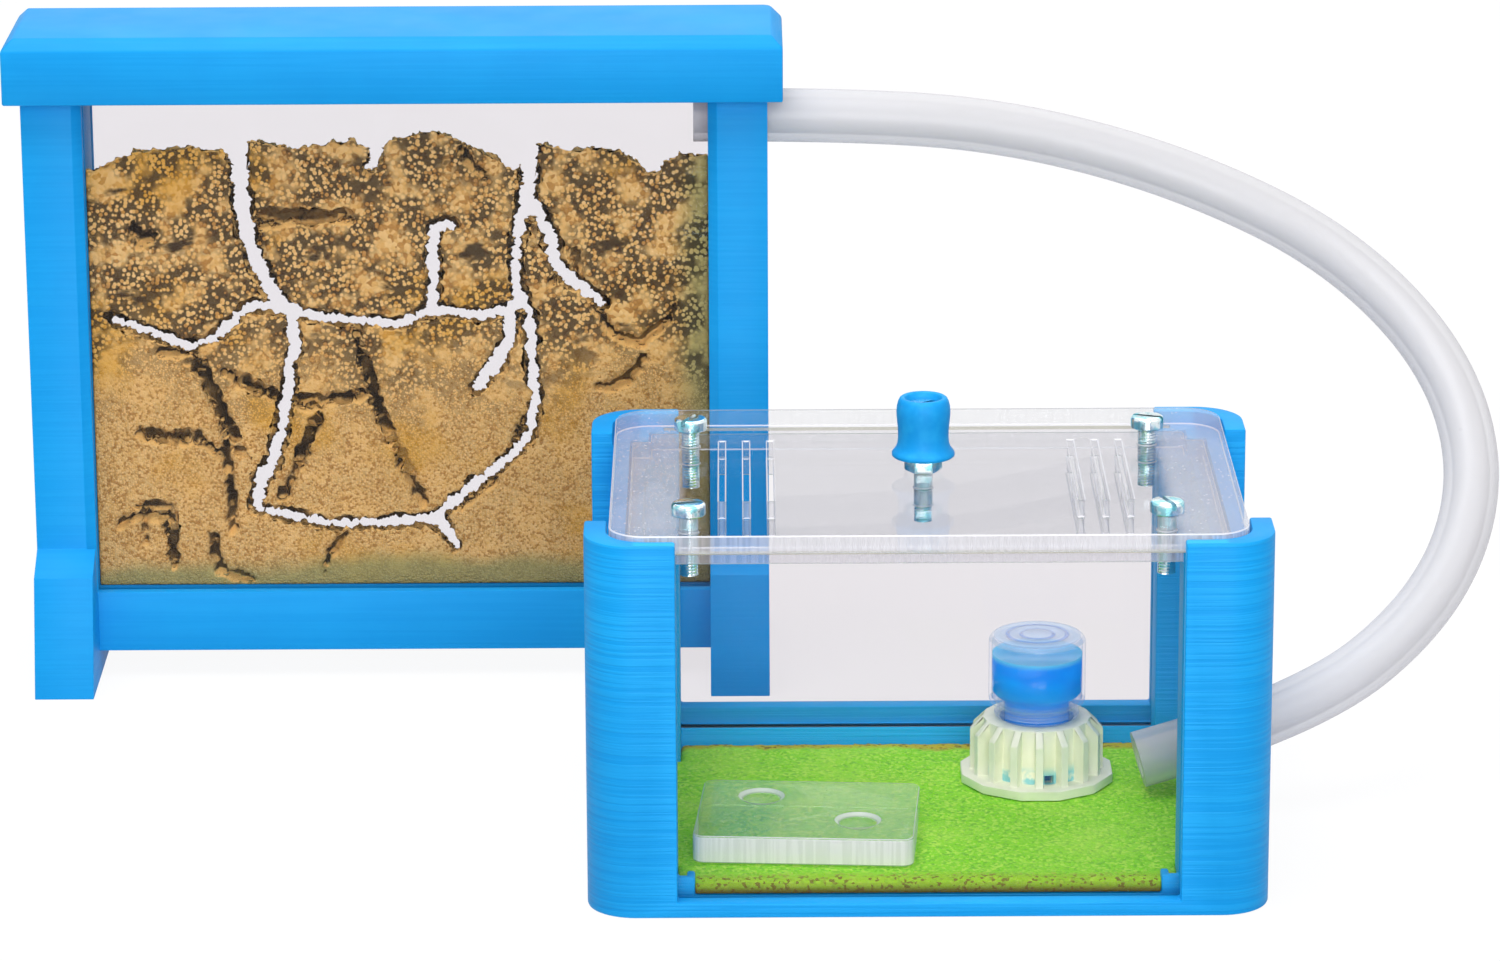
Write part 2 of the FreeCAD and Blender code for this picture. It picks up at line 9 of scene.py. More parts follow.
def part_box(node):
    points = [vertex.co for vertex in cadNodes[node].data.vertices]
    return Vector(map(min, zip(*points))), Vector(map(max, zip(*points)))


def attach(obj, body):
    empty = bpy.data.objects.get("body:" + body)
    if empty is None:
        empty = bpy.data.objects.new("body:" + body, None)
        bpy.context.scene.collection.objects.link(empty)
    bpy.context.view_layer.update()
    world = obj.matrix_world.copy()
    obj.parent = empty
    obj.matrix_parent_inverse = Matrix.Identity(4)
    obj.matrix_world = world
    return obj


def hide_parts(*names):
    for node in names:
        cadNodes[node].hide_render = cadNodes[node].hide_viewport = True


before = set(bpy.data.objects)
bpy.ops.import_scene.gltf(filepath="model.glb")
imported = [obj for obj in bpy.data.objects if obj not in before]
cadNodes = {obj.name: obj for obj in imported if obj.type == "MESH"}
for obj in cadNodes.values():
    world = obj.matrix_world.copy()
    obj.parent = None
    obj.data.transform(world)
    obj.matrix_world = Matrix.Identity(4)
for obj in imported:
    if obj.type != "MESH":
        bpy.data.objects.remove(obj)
bpy.context.view_layer.update()
mm = 0.001
print("frame loaded:", len(cadNodes), "nodes")


# A node tree, built one node at a time, and maths on its sockets

class Socket:
    def __init__(self, graph, socket):
        self.graph, self.socket = graph, socket

    def maths(self, operation, *others, swap=False):
        values = [self, *others][::-1 if swap else 1]
        return self.graph.node("ShaderNodeMath", {"operation": operation}, enumerate(values))

    def __add__(self, other):
        return self.maths("ADD", other)

    def __sub__(self, other):
        return self.maths("SUBTRACT", other)

    def __rsub__(self, other):
        return self.maths("SUBTRACT", other, swap=True)

    def __mul__(self, other):
        return self.maths("MULTIPLY", other)

    def __pow__(self, other):
        return self.maths("POWER", other)

    def __abs__(self):
        return self.maths("ABSOLUTE")

    __radd__, __rmul__ = __add__, __mul__

    def between(self, low, high):                  # 0 up to low, 1 from high on, smooth in between
        return self.graph.node("ShaderNodeMapRange", {"interpolation_type": "SMOOTHSTEP"},
                               {"Value": self, "From Min": low, "From Max": high})

    def most(self, other):
        return self.maths("MAXIMUM", other)

    def least(self, other):
        return self.maths("MINIMUM", other)


class Graph:
    def __init__(self, tree):
        self.tree = tree
        tree.nodes.clear()

    def node(self, kind, settings=None, inputs=(), output=0):
        made = self.tree.nodes.new(kind)
        for name, value in (settings or {}).items():
            setattr(made, name, value)
        for name, value in dict(inputs).items():
            if isinstance(value, Socket):
                self.tree.links.new(value.socket, made.inputs[name])
            else:
                made.inputs[name].default_value = value
        return Socket(self, made.outputs[output]) if made.outputs else made

    def place(self, scale=(1, 1, 1), middle=(0, 0, 0)):   # object coordinates in millimetres, from middle
        here = self.node("ShaderNodeTexCoord", output="Object")
        near = self.node("ShaderNodeVectorMath", {"operation": "SUBTRACT"},
                         {0: here, 1: [c * mm for c in middle]})
        return self.node("ShaderNodeVectorMath", {"operation": "MULTIPLY"},
                         {0: near, 1: [s / mm for s in scale]})

    def around(self, node):                        # millimetres from the middle of a node of the frame
        return self.place(middle=[c / mm for c in middleOf(node)])

    def axes(self, vector):
        return [self.node("ShaderNodeSeparateXYZ", None, {0: vector}, axis) for axis in "XYZ"]

    def normal(self):
        return self.axes(self.node("ShaderNodeNewGeometry", output="Normal"))

    def cloud(self, vector, scale, detail=2.0, roughness=0.5):
        return self.node("ShaderNodeTexNoise", None,
                         {"Vector": vector, "Scale": scale, "Detail": detail, "Roughness": roughness})

    def cells(self, vector, scale, output="Distance"):
        return self.node("ShaderNodeTexVoronoi", None, {"Vector": vector, "Scale": scale}, output)

    def blend(self, factor, first, second):
        return self.node("ShaderNodeMix", {"data_type": "RGBA"}, {0: factor, 6: first, 7: second}, 2)

    def layered(self, colour, look, *layers):      # each layer: its share, and its colour's name in look
        for share, name in layers:
            colour = self.blend(share, colour, look[name])
        return colour

    def bump(self, height, strength, distance):
        return self.node("ShaderNodeBump", None,
                         {"Height": height, "Strength": strength, "Distance": distance * mm}, "Normal")

    def facing(self):                              # 0 where the surface faces the eye, 1 at its rim
        return self.node("ShaderNodeLayerWeight", None, {"Blend": 0.5}, "Facing")

    def rays(self, *kinds):
        found = [self.node("ShaderNodeLightPath", output=f"Is {kind} Ray") for kind in kinds]
        for other in found[1:]:
            found[0] = found[0].most(other)
        return found[0]

    def mixed(self, factor, first, second):
        return self.node("ShaderNodeMixShader", None, {0: factor, 1: first, 2: second})

    def surface(self, inputs):
        return self.node("ShaderNodeBsdfPrincipled", None, inputs)

    def rough(self, pattern, look):                # the least roughness, and what the pattern adds to it
        least, more = look["rough"]
        return pattern * more + least

    def clear(self, look):                         # straight through, with a mirror that grows at its rim
        through = self.node("ShaderNodeBsdfTransparent", None, {"Color": look["tint"]})
        gloss = self.node("ShaderNodeBsdfGlossy", None, {"Color": white, "Roughness": look["gloss"]})
        return self.mixed(self.facing() ** 5 * look["mirror"] + look["shine"], through, gloss)


def srgb(red, green, blue):
    shares = [channel / 255 for channel in (red, green, blue)]
    return (*[s / 12.92 if s <= 0.04045 else ((s + 0.055) / 1.055) ** 2.4 for s in shares], 1.0)


white = srgb(255, 255, 255)


def material(name, build, look):
    made = bpy.data.materials.new(name)
    made.use_nodes = True
    graph = Graph(made.node_tree)
    graph.node("ShaderNodeOutputMaterial", None, {"Surface": build(graph, look)})
    return made


# The camera, the floor and the light

cameraView = {"place": (0.0217, -0.9953, 0.3438), "down": 16.447, "right": 0.102, "roll": -0.259,
              "lens": 145.92, "sensor": 36.0, "near": 0.01, "far": 30}


def makeCamera(view):
    down, right, roll = (math.radians(view[key]) for key in ("down", "right", "roll"))
    turn = (Matrix.Rotation(-right, 4, "Z") @ Matrix.Rotation(math.pi / 2 - down, 4, "X")
            @ Matrix.Rotation(roll, 4, "Z"))
    camera = bpy.data.objects.new("camera", bpy.data.cameras.new("camera"))
    camera.data.sensor_width, camera.data.lens = view["sensor"], view["lens"]
    camera.data.clip_start, camera.data.clip_end = view["near"], view["far"]
    camera.matrix_world = Matrix.Translation(view["place"]) @ turn
    bpy.context.scene.collection.objects.link(camera)
    bpy.context.scene.camera = camera


floorLook = {"size": 6.0, "colour": srgb(196, 196, 198), "seen": white, "glow": 1.08, "share": 0.86}
worldLook = {"colour": white, "light": 0.3, "seen": 1.0}
clearLayers = 32     # see-through faces that one ray may pass
lamps = [            # places and sides in metres
    {"place": (0.1, -1.2, 0.4), "aim": (0.03, 0, 0.05), "side": 0.7, "watts": 8.6},
    {"place": (-0.2, -0.25, 1.3), "aim": (0, 0, 0.04), "side": 0.9, "watts": 14.5},
    {"place": (0.9, -0.5, 0.9), "aim": (0.03, 0, 0.04), "side": 0.8, "watts": 2.2},
    {"place": (0.1, 0.9, 0.9), "aim": (0, 0, 0.05), "side": 0.9, "watts": 3.0},
]


def floorShader(graph, look):
    lit = graph.node("ShaderNodeBsdfDiffuse", None, {"Color": look["colour"]})
    glow = graph.node("ShaderNodeEmission", None, {"Color": look["seen"], "Strength": look["glow"]})
    return graph.mixed(graph.rays("Camera", "Glossy", "Transmission") * look["share"], lit, glow)


def makeStage():
    half = floorLook["size"] / 2
    corners = [(-half, -half, 0), (half, -half, 0), (half, half, 0), (-half, half, 0)]
    floor = meshPiece("floor", corners, [(0, 1, 2, 3)])
    floor.data.materials.append(material("paleFloor", floorShader, floorLook))
    world = bpy.data.worlds.new("world")
    world.use_nodes = True
    graph = Graph(world.node_tree)
    seen = graph.rays("Camera", "Glossy", "Transmission")
    strength = seen * (worldLook["seen"] - worldLook["light"]) + worldLook["light"]
    light = graph.node("ShaderNodeBackground", None, {"Color": worldLook["colour"], "Strength": strength})
    graph.node("ShaderNodeOutputWorld", None, {"Surface": light})
    bpy.context.scene.world = world
    for number, lamp in enumerate(lamps):
        light = bpy.data.lights.new(f"softLamp{number}", "AREA")
        light.size, light.energy = lamp["side"], lamp["watts"]
        held = bpy.data.objects.new(light.name, light)
        held.location = lamp["place"]
        toward = Vector(lamp["aim"]) - Vector(lamp["place"])
        held.rotation_euler = toward.to_track_quat("-Z", "Y").to_euler()
        bpy.context.scene.collection.objects.link(held)
    bpy.context.scene.view_settings.view_transform = "Standard"
    bpy.context.scene.cycles.transparent_max_bounces = clearLayers


# Making and dressing pieces

meshing = {"doubles": 0.002, "level": 0.01, "flatAngle": 0.3, "bevelAngle": 30}     # mm and degrees


def meshPiece(name, points, faces, smooth=False):
    mesh = bpy.data.meshes.new(name)
    mesh.from_pydata([tuple(point) for point in points], [], faces)
    mesh.polygons.foreach_set("use_smooth", [smooth] * len(mesh.polygons))
    piece = bpy.data.objects.new(name, mesh)
    bpy.context.scene.collection.objects.link(piece)
    return piece


def cadCopy(node, name, joinFlats=True):           # the node's mesh with its doubles merged and its flats joined
    work = bmesh.new()
    work.from_mesh(cadNodes[node].data)
    bmesh.ops.remove_doubles(work, verts=work.verts, dist=meshing["doubles"] * mm)
    if joinFlats:
        flat = math.radians(meshing["flatAngle"])
        bmesh.ops.dissolve_limit(work, angle_limit=flat, verts=work.verts, edges=work.edges)
    work.verts.index_update()
    points = [vert.co.copy() for vert in work.verts]
    faces = [[vert.index for vert in face.verts] for face in work.faces]
    work.free()
    return meshPiece(name, points, faces)


def settle(piece, sharpAngle=None):                # its modifiers become plain mesh
    bpy.context.view_layer.update()
    held = piece.evaluated_get(bpy.context.evaluated_depsgraph_get())
    made = bpy.data.meshes.new_from_object(held)
    piece.modifiers.clear()
    piece.data = made
    if sharpAngle is not None:
        made.polygons.foreach_set("use_smooth", [True] * len(made.polygons))
        made.set_sharp_from_angle(angle=math.radians(sharpAngle))
    return piece


def trim(piece, low=0.0, high=0.0):                # lifts its lowest points and lowers its highest, in mm
    heights = [vert.co.z for vert in piece.data.vertices]
    bottom, top = min(heights), max(heights)
    for vert in piece.data.vertices:
        if vert.co.z < bottom + meshing["level"] * mm:
            vert.co.z += low * mm
        elif vert.co.z > top - meshing["level"] * mm:
            vert.co.z -= high * mm
    return piece


def remeshed(piece, voxel):                        # an even skin of small squares
    grid = piece.modifiers.new("grid", "REMESH")
    grid.mode, grid.voxel_size, grid.use_smooth_shade = "VOXEL", voxel * mm, True
    return settle(piece)


def soften(piece, width, segments=2, sharpAngle=32, sharp=(0, 0)):   # no bevel between sharp's heights
    work = bmesh.new()
    work.from_mesh(piece.data)
    weight = work.edges.layers.float.new("bevel_weight_edge")
    for line in work.edges:
        kept = all(sharp[0] < vert.co.z < sharp[1] for vert in line.verts)
        line[weight] = float(not kept and line.calc_face_angle(0) > math.radians(meshing["bevelAngle"]))
    work.to_mesh(piece.data)
    work.free()
    edge = piece.modifiers.new("edge", "BEVEL")
    edge.width, edge.segments, edge.limit_method = width * mm, segments, "WEIGHT"
    edge.use_clamp_overlap = edge.harden_normals = False
    return settle(piece, sharpAngle)


def dress(piece, finish, body, slot, *nodes):
    piece.data.materials.clear()
    piece.data.materials.append(finish)
    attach(piece, body)
    if nodes:
        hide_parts(*nodes)
    return piece


def finishNode(node, finish):
    cadNodes[node].material_slots[0].material = finish


def lathe(name, profile, middle, sides=72, smooth=True):    # profile: (radius, height) in mm
    closed = profile[0] == profile[-1]
    points, rings = [], []
    turns = [2 * math.pi * i / sides for i in range(sides)]
    for radius, height in profile[:-1] if closed else profile:
        if radius == 0:
            rings.append([len(points)])
            points.append(Vector((middle[0], middle[1], height * mm)))
            continue
        rings.append(range(len(points), len(points) + sides))
        points += [Vector((middle[0] + radius * mm * math.cos(a), middle[1] + radius * mm * math.sin(a),
                           height * mm)) for a in turns]
    faces = []
    for low, high in zip(rings, rings[1:] + rings[:closed]):
        for i in range(sides):
            j = (i + 1) % sides
            corners = [low[i % len(low)], low[j % len(low)], high[j % len(high)], high[i % len(high)]]
            faces.append(list(dict.fromkeys(corners)))
    return meshPiece(name, points, [face for face in faces if len(face) > 2], smooth)


def arcPoints(middle, radius, start, end, steps):  # a quarter or so of a circle in a lathe's profile
    angles = [math.radians(start + (end - start) * i / steps) for i in range(steps + 1)]
    return [(middle[0] + radius * math.cos(a), middle[1] + radius * math.sin(a)) for a in angles]


def middleOf(node):
    low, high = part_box(node)
    return (low + high) / 2


makeCamera(cameraView)
makeStage()
print("camera and light set")


# The milky hose, along its own line

# rim is the painted shade colour at the hose's edges
hose = {"diameter": 9.5, "bore": 6.4, "length": 262.0, "sides": 48, "perRun": 20, "crease": 50,
        "colour": srgb(229, 228, 227), "rim": srgb(206, 204, 209), "clear": srgb(246, 246, 250),
        "veil": 0.44, "rimVeil": 0.72, "rimFall": 2.2, "wisps": (0.2, 0.2, 0.2), "rough": (0.25, 0.1),
        "bend": 1.42}
hoseRoute = [(0.0138, 0.0562, 0.101), (0.0448, 0.0562, 0.101), (0.0738, 0.058, 0.0975),
             (0.1033, 0.0565, 0.089), (0.1288, 0.048, 0.0775), (0.1458, 0.0305, 0.062),
             (0.1493, 0.008, 0.046), (0.1393, -0.013, 0.0305), (0.1163, -0.028, 0.017),
             (0.0883, -0.031, 0.01)]


def hoseLine():
    curve = bpy.data.curves.new("hoseLine", "CURVE")
    curve.dimensions, curve.resolution_u = "3D", hose["perRun"]
    spline = curve.splines.new("NURBS")
    spline.points.add(len(hoseRoute) - 1)
    for point, place in zip(spline.points, hoseRoute):
        point.co = (*place, 1)
    spline.order_u, spline.use_endpoint_u = 3, True
    held = bpy.data.objects.new("hoseLine", curve)
    line = [vert.co.copy() for vert in bpy.data.meshes.new_from_object(held).vertices]
    bpy.data.objects.remove(held)
    return line


def hoseTube(line):
    sides, points, faces = hose["sides"], [], []
    side = Vector((0, 0, 1))
    for i, place in enumerate(line):
        along = (line[min(i + 1, len(line) - 1)] - line[max(i - 1, 0)]).normalized()
        side = (side - along * side.dot(along)).normalized()
        across = along.cross(side)
        for radius in (hose["diameter"] / 2 * mm, hose["bore"] / 2 * mm):
            for turn in (2 * math.pi * k / sides for k in range(sides)):
                points.append(place + (side * math.cos(turn) + across * math.sin(turn)) * radius)
    last = len(line) - 1
    for i in range(last):
        here, there = 2 * sides * i, 2 * sides * (i + 1)
        for k in range(sides):
            n = (k + 1) % sides
            faces.append((here + k, here + n, there + n, there + k))
            faces.append((here + sides + n, here + sides + k, there + sides + k, there + sides + n))
    for k in range(sides):
        n, end = (k + 1) % sides, 2 * sides * last
        faces.append((n, k, sides + k, sides + n))
        faces.append((end + k, end + n, end + sides + n, end + sides + k))
    return meshPiece("hose", points, faces, smooth=True)


def hoseShader(graph, look):
    # painted shade: the hose's colour darkens towards its edges, where it turns from the eye; its veil also
    # thickens there
    rim = graph.facing() ** look["rimFall"]
    wisps = graph.cloud(graph.place(look["wisps"]), 1.0)
    body = graph.surface({"Base Color": graph.blend(rim, look["colour"], look["rim"]),
                          "Roughness": graph.rough(wisps, look), "IOR": look["bend"]})
    through = graph.node("ShaderNodeBsdfTransparent", None, {"Color": look["clear"]})
    return graph.mixed(rim * (look["rimVeil"] - look["veil"]) + look["veil"], through, body)


line = hoseLine()
milkyHose = material("milkyHose", hoseShader, hose)
tube = dress(hoseTube(line), milkyHose, "habitat", "milky_hose", "connecting_hose")
tube.data.set_sharp_from_angle(angle=math.radians(hose["crease"]))
hose["length"] * mm
hose["diameter"] * mm
print("hose made:", len(line), "points on its line")


# Blue printed plastic of the arena, the nest's frame and its roof

bluePrint = {"colour": srgb(6, 150, 222), "light": srgb(34, 172, 238), "deep": srgb(2, 134, 210),
             "inner": srgb(26, 184, 250), "layer": 0.55, "patchy": 0.25, "rough": (0.42, 0.18), "bend": 1.46,
             "sheen": 0.2, "ridge": 0.08,
             "innerPaintedLightShare": 0.7, "innerWidth": (46.5, 47.5), "innerDepth": (39.3, 39.8), "innerFrom": (-29, -28)}


def printShader(graph, look):                      # layer lines, and painted light: a lighter blue inside the arena, where its walls get less light
    bands = graph.cloud(graph.place((0.03, 0.03, 1 / look["layer"])), 1.0, 1.0).between(0.35, 0.65)
    threads = graph.cloud(graph.place((0.12, 0.12, 2.2 / look["layer"])), 1.0, 2.0)
    patches = graph.cloud(graph.place(), 0.06, 3.0).between(0.3, 0.7)
    x, y, z = graph.axes(graph.around("arena_body"))
    # painted light: the arena's inner faces are blended towards a lighter blue, standing in for light its interior
    # lacks
    inside = (1 - abs(x).between(*look["innerWidth"])) * (1 - abs(y).between(*look["innerDepth"]))
    colour = graph.layered(look["colour"], look, (bands * look["lines"], "light"),
                           (patches * look["patchy"], "deep"),
                           (inside * z.between(*look["innerFrom"]) * look["innerPaintedLightShare"], "inner"))
    return graph.surface({"Base Color": colour, "Roughness": graph.rough(threads, look),
                          "IOR": look["bend"], "Specular IOR Level": look["sheen"],
                          "Normal": graph.bump(bands * 0.6 + threads * 0.4, look["relief"], look["ridge"])})


arenaPrint = material("arenaPrint", printShader, {**bluePrint, "lines": 0.44, "relief": 0.8})
nestPrint = material("nestPrint", printShader, {**bluePrint, "lines": 0.16, "relief": 0.18})
lidSeat = (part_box("lid_lower_plate")[0].z - 0.3 * mm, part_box("lid_top_plate")[0].z + 0.05 * mm)
printed = [("arena_body", "arenaBody", "habitat", arenaPrint, 0.35, lidSeat),
           ("nest_frame", "nestFrame", "habitat", nestPrint, 0.14, (0, 0)),
           ("nest_roof", "nestRoof", "nest_cover", nestPrint, 0.35, (0, 0))]
for node, name, body, finish, edge, sharp in printed:
    dress(soften(cadCopy(node, name), edge, sharp=sharp), finish, body, "blue_print", node)
print("printed bodies made")


# Clear plates, panes and glass

# lines: strength of the highlight painted along the bevels between top and sides
plate = {"node": "lid_top_plate", "tint": srgb(247, 247, 248), "milk": srgb(226, 225, 231), "milkRough": 0.4,
         "shine": 0.03, "mirror": 0.2, "gloss": 0.02, "film": 0.0, "sides": 0.3, "rearFade": 0.8,
         "streaks": 0.12, "lines": 0.7, "ends": 0.2, "endsFrom": 38.5, "endsFade": 2.5, "specks": 0.4,
         "lift": 0.06, "bevel": 0.2}
dish = {**plate, "node": "feeding_dish", "tint": srgb(248, 251, 246), "milk": srgb(240, 240, 240),
        "film": 0.08, "sides": 0.85, "ends": 0.0, "specks": 0.0, "bevel": 0.25}
pane = {"tint": srgb(249, 248, 249), "shine": 0.006, "mirror": 0.9, "gloss": 0.02,
        "edge": srgb(176, 172, 150), "edgeShare": 0.85, "edgeRough": 0.35}


def sheetShader(graph, look):                      # clear sheet with milky sides, white edge lines painted as highlights on its bevels, and hazy ends
    here = graph.around(look["node"])
    across, back = graph.axes(here)[:2]
    flat = abs(graph.normal()[2])
    top = flat.between(0.85, 0.95)
    side = (1 - flat.between(0.2, 0.5)) * (1 - back.between(0, 2) * look["rearFade"])
    # painted highlight: the bevel faces between top and sides turn milky white
    line = flat.between(0.5, 0.6) * (1 - flat.between(0.8, 0.88))
    streaks = graph.cloud(graph.place((1.4, 1.4, 0.05)), 1.0, 1.0).between(0.4, 0.62)
    ends = abs(across).between(look["endsFrom"], look["endsFrom"] + look["endsFade"])
    specks = 1 - graph.cells(here, 0.6).between(0.05, 0.15)
    veil = ends * (specks * look["specks"] + look["ends"]) * top + top * look["film"]
    veil = (veil + side * (streaks * look["streaks"] + look["sides"])).most(line * look["lines"])
    milk = graph.surface({"Base Color": look["milk"], "Roughness": look["milkRough"]})
    return graph.mixed(veil, graph.clear(look), milk)


def paneShader(graph, look):                       # clear sheet whose cut edges have a colour of their own
    sawn = 1 - abs(graph.normal()[1]).between(0.4, 0.9)
    cut = graph.surface({"Base Color": look["edge"], "Roughness": look["edgeRough"]})
    return graph.mixed(sawn * look["edgeShare"], graph.clear(look), cut)


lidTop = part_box("lid_top_plate")[1].z
lidMiddle = middleOf("lid_top_plate")
clearPlate = material("clearPlate", sheetShader, plate)
clearDish = material("clearDish", sheetShader, dish)
clearPane = material("clearPane", paneShader, pane)
for node in ("arena_front_pane", "arena_rear_pane", "nest_front_glass", "nest_rear_glass"):
    finishNode(node, clearPane)
for node, name, above in (("lid_top_plate", "lidTopPlate", 0.0),
                          ("lid_lower_plate", "lidLowerPlate", plate["lift"])):
    sheet = soften(trim(cadCopy(node, name), plate["lift"], above), plate["bevel"], 1, sharpAngle=1)
    dress(sheet, clearPlate, "arena_lid", "clear_acrylic", node)
tray = soften(trim(cadCopy("feeding_dish", "dish"), dish["lift"]), dish["bevel"], sharpAngle=20)
dress(tray, clearDish, "dish", "clear_acrylic", "feeding_dish")
print("clear pieces finished")


# Knob, nut and screws of the lid

knob = {"profile": [(0, 0), (4.9, 0.0), (5.15, 0.2), (5.15, 0.62), (4.85, 1.05), (4.5, 1.5), (4.25, 2.2),
                    (4.15, 3.1), (4.15, 4.1), (4.2, 4.9), (4.3, 5.9), (4.4, 6.9), (4.42, 7.7), (4.35, 8.5),
                    (4.15, 9.3), (3.9, 9.8), (3.62, 10.0), (3.2, 9.96), (2.98, 9.75), (2.95, 7.0), (0, 7.0)],
        "crease": 60, "colour": srgb(6, 148, 222), "worn": srgb(40, 176, 236), "wornShare": 0.35,
        "rough": (0.45, 0.2), "sheen": 0.25, "grain": (0.3, 0.04)}
screw = {"head": 2.75, "height": 2.0, "round": 0.5, "chamfer": 0.15, "sunk": 0.02, "headSides": 48,
         "shaft": 1.5, "pitch": 0.5, "thread": 0.16, "sides": 28, "perTurn": 5, "slotWide": 0.8,
         "slotDeep": 1.0, "length": 10.0, "knobLength": 18.0, "across": 76.6, "along": 49.6,
         "firstTurn": 15.0, "turnStep": 48.0, "knobTurn": 35.0, "crease": 30,
         "colour": srgb(232, 244, 246), "tarnish": srgb(104, 206, 220), "dark": srgb(70, 96, 112),
         "tarnished": 0.75, "darkened": 0.5, "rough": (0.14, 0.12)}
nutBevel = 0.3


def rubberShader(graph, look):
    mottle = graph.cloud(graph.place(), 0.5, 4.0).between(0.35, 0.7)
    grain = graph.cloud(graph.place(), 4.0, 2.0)
    return graph.surface({"Base Color": graph.blend(mottle * look["wornShare"], look["colour"], look["worn"]),
                          "Roughness": graph.rough(grain, look), "Specular IOR Level": look["sheen"],
                          "Normal": graph.bump(grain, *look["grain"])})


def metalShader(graph, look):
    here = graph.place()
    stain = graph.cloud(here, 0.55, 3.0).between(0.42, 0.62)
    dark = graph.cloud(here, 1.4, 2.0).between(0.6, 0.72)
    colour = graph.layered(look["colour"], look, (stain * look["tarnished"], "tarnish"),
                           (dark * look["darkened"], "dark"))
    return graph.surface({"Base Color": colour, "Metallic": 1.0, "Roughness": graph.rough(stain, look)})


def screwHead(name):                               # stands on z = 0, its slot runs along X
    r, h, turned, foot = screw["head"], screw["height"], screw["round"], -screw["sunk"]
    head = lathe(name, [(0, foot), (screw["shaft"], foot), (r - screw["chamfer"], foot), (r, screw["chamfer"]),
                        *arcPoints((r - turned, h - turned), turned, 0, 90, 4), (0, h)],
                 (0, 0), screw["headSides"], smooth=False)
    corners = [(x * r * 1.2 * mm, y * screw["slotWide"] / 2 * mm, (h - screw["slotDeep"] + z * 2) * mm)
               for z in (0, 1) for y in (-1, 1) for x in (-1, 1)]
    cutter = meshPiece("cutter", corners, [(0, 2, 3, 1), (4, 5, 7, 6), (0, 1, 5, 4), (2, 6, 7, 3),
                                           (0, 4, 6, 2), (1, 3, 7, 5)])
    slot = head.modifiers.new("slot", "BOOLEAN")
    slot.object, slot.operation, slot.solver = cutter, "DIFFERENCE", "EXACT"
    settle(head)
    bpy.data.objects.remove(cutter)
    return head


def screwPiece(name, length):                      # the head, and a threaded shaft that hangs below it
    head = screwHead(name)
    sides, steps = screw["sides"], int(length / screw["pitch"] * screw["perTurn"])
    points, faces = [], []
    for step in range(steps + 1):
        for turn in (k / sides for k in range(sides)):
            ridge = abs((step / screw["perTurn"] + turn) % 1 - 0.5) * 2 * (step < steps)
            radius = screw["shaft"] - screw["thread"] * ridge
            points.append((radius * math.cos(2 * math.pi * turn) * mm,
                           radius * math.sin(2 * math.pi * turn) * mm, -length * step / steps * mm))
    for here in range(0, steps * sides, sides):
        for k in range(sides):
            n, there = (k + 1) % sides, here + sides
            faces.append((here + k, there + k, there + n, here + n))
    faces += [tuple(range(sides)), tuple(steps * sides + k for k in reversed(range(sides)))]
    return joined(head, meshPiece(name + "Shaft", points, faces))


def joined(first, *others):
    work = bmesh.new()
    for piece in (first, *others):
        work.from_mesh(piece.data)
    mesh = bpy.data.meshes.new(first.name)
    work.to_mesh(mesh)
    work.free()
    first.data = mesh
    for piece in others:
        bpy.data.objects.remove(piece)
    return first


class Growth(Graph):                               # a Geometry Nodes tree with named inputs
    def __init__(self, name, sizes):
        super().__init__(bpy.data.node_groups.new(name, "GeometryNodeTree"))
        face = self.tree.interface
        for way in ("INPUT", "OUTPUT"):
            face.new_socket("Geometry", in_out=way, socket_type="NodeSocketGeometry")
        self.keys = {}
        for label, value in sizes.items():
            kind = {int: "Int", float: "Float", bpy.types.Object: "Object"}[type(value)]
            socket = face.new_socket(label, in_out="INPUT", socket_type=f"NodeSocket{kind}")
            self.keys[label] = socket.identifier
        self.sizes = sizes
        self.entry = self.tree.nodes.new("NodeGroupInput")

    def given(self, label):
        return Socket(self, self.entry.outputs[label])

    def grow(self, piece, geometry, finish):       # ends the tree, runs it on piece and leaves plain mesh
        real = self.node("GeometryNodeRealizeInstances", None, {"Geometry": geometry})
        made = self.node("GeometryNodeSetMaterial", None, {"Geometry": real, "Material": finish})
        self.node("NodeGroupOutput", None, {"Geometry": made})
        run = piece.modifiers.new(self.tree.name, "NODES")
        run.node_group = self.tree
        for label, value in self.sizes.items():
            run[self.keys[label]] = value
        return settle(piece)


zincMetal = material("zincMetal", metalShader, screw)
blueRubber = material("blueRubber", rubberShader, knob)


def lidScrews():
    tree = Growth("screwsOnLid", {
        "Screw": screwPiece("oneScrew", screw["length"]), "Across": screw["across"] * mm,
        "Along": screw["along"] * mm, "First Turn": math.radians(screw["firstTurn"]),
        "Turn Step": math.radians(screw["turnStep"])})
    places = tree.node("GeometryNodeMeshGrid", None, {
        "Size X": tree.given("Across"), "Size Y": tree.given("Along"), "Vertices X": 2, "Vertices Y": 2})
    number = tree.node("GeometryNodeInputIndex")
    turn = tree.node("ShaderNodeCombineXYZ", None, {
        "Z": number * tree.given("Turn Step") + tree.given("First Turn")})
    one = tree.node("GeometryNodeObjectInfo", None, {"Object": tree.given("Screw")}, "Geometry")
    placed = tree.node("GeometryNodeInstanceOnPoints", None, {
        "Points": places, "Instance": one, "Rotation": turn})
    fourScrews = tree.node("GeometryNodeTransform", None, {
        "Geometry": placed, "Translation": (lidMiddle.x, lidMiddle.y, lidTop)})
    made = tree.grow(meshPiece("lidScrews", [], []), fourScrews, zincMetal)
    bpy.data.objects.remove(tree.sizes["Screw"])
    made.data.set_sharp_from_angle(angle=math.radians(screw["crease"]))
    return made


